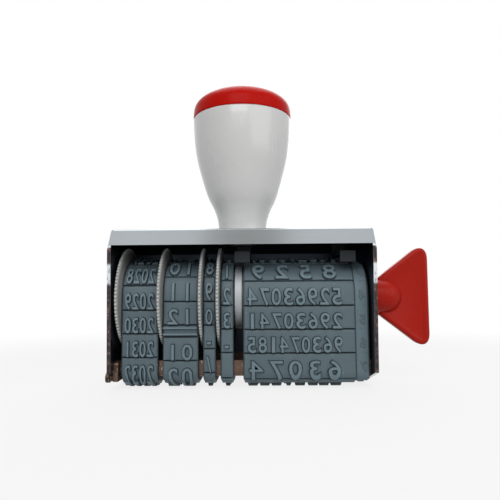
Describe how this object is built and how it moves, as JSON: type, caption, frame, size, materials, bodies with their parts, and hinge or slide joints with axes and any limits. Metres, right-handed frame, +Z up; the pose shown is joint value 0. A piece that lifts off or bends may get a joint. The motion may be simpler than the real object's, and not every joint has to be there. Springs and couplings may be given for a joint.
{
  "type": "band date stamp",
  "caption": "Hand-held date and time stamp: thumb-wheel date bands and a wide knob-turned band in a pressed housing under a turned handle.",
  "frame": {"origin": "middle of the footprint, on the level of the type that prints", "axes": "+X along the wheel axis towards the knob, +Y from the open front to the back wall, +Z up along the handle"},
  "size_m": [0.0886, 0.0304, 0.0853],
  "materials": {
    "chrome_sheet": "bright chromed sheet with soft press marks",
    "handle_white": "glossy white moulding",
    "red_plastic": "glossy red moulding",
    "wheel_grey": "satin light grey moulding",
    "collar_silver": "bright smooth grey",
    "band_rubber": "blue-grey moulded rubber",
    "dark_plastic": "dark grey moulding",
    "platen_steel": "plain strip steel, warm toned",
    "plated_steel": "zinc-plated steel"
  },
  "bodies": {
    "root": {"frame": "chrome_sheet", "handle_body": "handle_white", "handle_cap": "red_plastic", "handle_screw": "plated_steel", "handle_washer": "plated_steel", "retainer_bridge": "dark_plastic", "wheel_axle": "plated_steel", "axle_washer": "plated_steel", "knob_bushing": "dark_plastic", "platen": "platen_steel", "year_band": "band_rubber", "month_band": "band_rubber", "day_units_band": "band_rubber", "day_tens_band": "band_rubber", "phrase_band": "band_rubber"},
    "year_wheel_body": {"year_wheel": "wheel_grey"},
    "month_wheel_body": {"month_wheel": "wheel_grey"},
    "day_units_wheel_body": {"day_units_wheel": "wheel_grey"},
    "day_tens_wheel_body": {"day_tens_wheel": "wheel_grey"},
    "phrase_drum_body": {"phrase_drum": "wheel_grey", "drum_collar": "collar_silver", "drum_pin": "plated_steel", "knob_spindle": "plated_steel", "phrase_knob": "red_plastic"}
  },
  "joints": [
    {"name": "year_wheel_turn", "type": "hinge", "parent": "root", "child": "year_wheel_body", "pos_m": [0, -0.0006, 0.02436], "axis": [1, 0, 0], "continuous": true},
    {"name": "month_wheel_turn", "type": "hinge", "parent": "root", "child": "month_wheel_body", "pos_m": [0, -0.0006, 0.02436], "axis": [1, 0, 0], "continuous": true},
    {"name": "day_units_wheel_turn", "type": "hinge", "parent": "root", "child": "day_units_wheel_body", "pos_m": [0, -0.0006, 0.02436], "axis": [1, 0, 0], "continuous": true},
    {"name": "day_tens_wheel_turn", "type": "hinge", "parent": "root", "child": "day_tens_wheel_body", "pos_m": [0, -0.0006, 0.02436], "axis": [1, 0, 0], "continuous": true},
    {"name": "knob_turn", "type": "hinge", "parent": "root", "child": "phrase_drum_body", "pos_m": [0, -0.0006, 0.02436], "axis": [1, 0, 0], "continuous": true}
  ]
}
